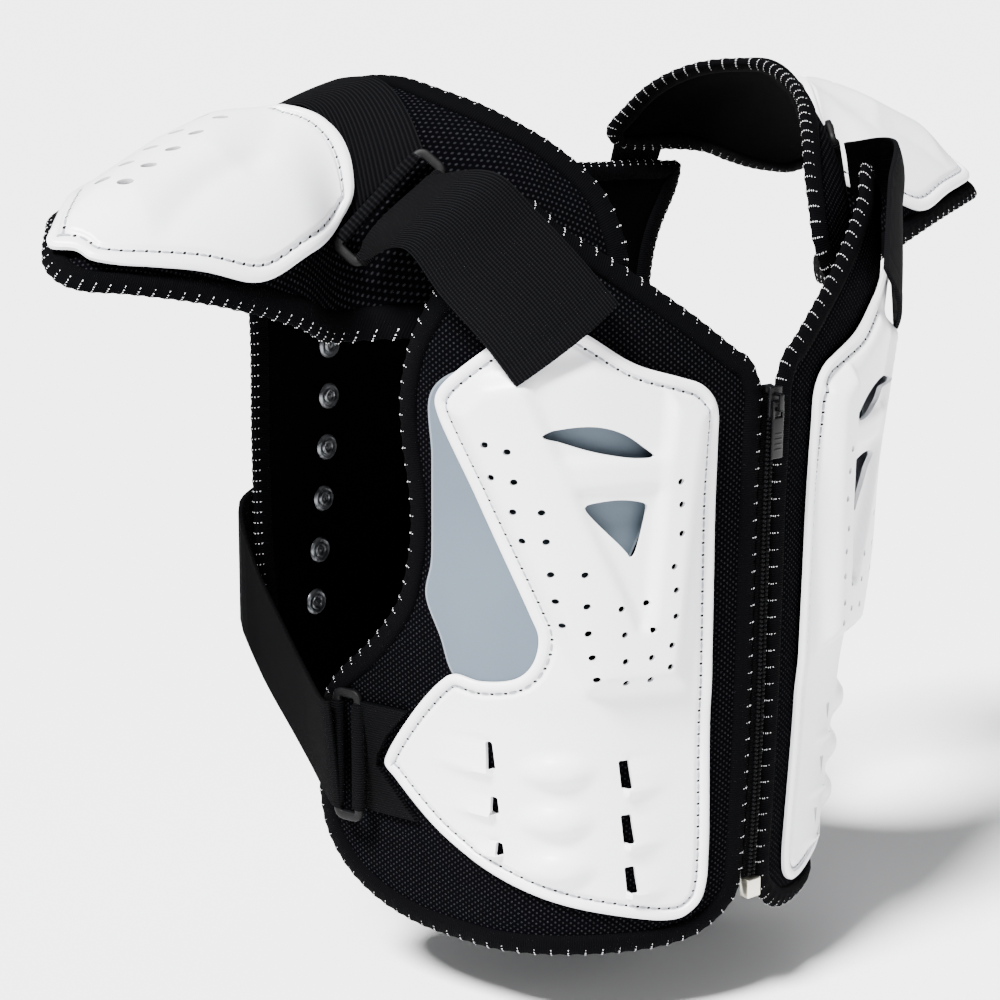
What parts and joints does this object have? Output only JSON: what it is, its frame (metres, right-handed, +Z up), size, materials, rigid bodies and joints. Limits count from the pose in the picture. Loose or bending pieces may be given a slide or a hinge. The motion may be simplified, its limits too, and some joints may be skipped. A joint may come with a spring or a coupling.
{
  "type": "motorcycle armour vest",
  "caption": "Worn armour vest: padded mesh panels with bound edges, white vented chest plates, shoulder wings with caps, a hard back shell, front zip and webbing side straps.",
  "frame": {"origin": "on the centre line between the shoulders, at shoulder height, where the vest is carried on the wearer", "axes": "+Z up, +X to the wearer's left, +Y to the wearer's back"},
  "size_m": [0.5476, 0.2176, 0.3722],
  "materials": {
    "mesh_cloth": "black air mesh, matte",
    "binding_tape": "ribbed black binding tape",
    "webbing": "black woven webbing",
    "white_shell": "white moulded plastic, satin gloss",
    "grey_sheet": "blue-grey foam sheet",
    "black_plastic": "dark grey moulded plastic",
    "zip_tape": "black woven tape",
    "zip_black": "black lacquered metal",
    "gunmetal": "gunmetal plated",
    "nickel": "nickel plated"
  },
  "bodies": {
    "vest": {"front_panel_left": "mesh_cloth", "front_panel_right": "mesh_cloth", "front_binding_left": "binding_tape", "front_binding_right": "binding_tape", "chest_plate_left": "white_shell", "chest_plate_right": "white_shell", "vent_backing_left": "grey_sheet", "vent_backing_right": "grey_sheet", "shoulder_wing_left": "mesh_cloth", "shoulder_wing_right": "mesh_cloth", "wing_binding_left": "binding_tape", "wing_binding_right": "binding_tape", "shoulder_cap_left": "white_shell", "shoulder_cap_right": "white_shell", "zip_tape_left": "zip_tape", "zip_tape_right": "zip_tape", "zip_coil_left": "zip_black", "zip_coil_right": "zip_black", "shoulder_band_left": "webbing", "shoulder_band_right": "webbing", "shoulder_ring_left": "black_plastic", "shoulder_ring_right": "black_plastic", "shoulder_strap_left": "webbing", "shoulder_strap_right": "webbing", "side_tab_left": "webbing", "side_tab_right": "webbing", "side_ring_left": "black_plastic", "side_ring_right": "black_plastic", "side_strap_left": "webbing", "side_strap_right": "webbing", "back_panel": "mesh_cloth", "back_binding": "binding_tape", "back_shell": "white_shell", "rivet_left_1": "gunmetal", "rivet_left_2": "gunmetal", "rivet_left_3": "gunmetal", "rivet_left_4": "gunmetal", "rivet_left_5": "gunmetal", "rivet_left_6": "gunmetal", "rivet_right_1": "gunmetal", "rivet_right_2": "gunmetal", "rivet_right_3": "gunmetal", "rivet_right_4": "gunmetal", "rivet_right_5": "gunmetal", "rivet_right_6": "gunmetal", "zip_slider": "zip_black", "zip_box": "nickel"},
    "pull": {"zip_pull": "zip_black"}
  },
  "joints": [
    {"name": "zip_pull_hinge", "type": "hinge", "parent": "vest", "child": "pull", "pos_m": [0, -0.10568, -0.13356], "axis": [-1, 0, 0], "range_deg": [0, 150]}
  ]
}
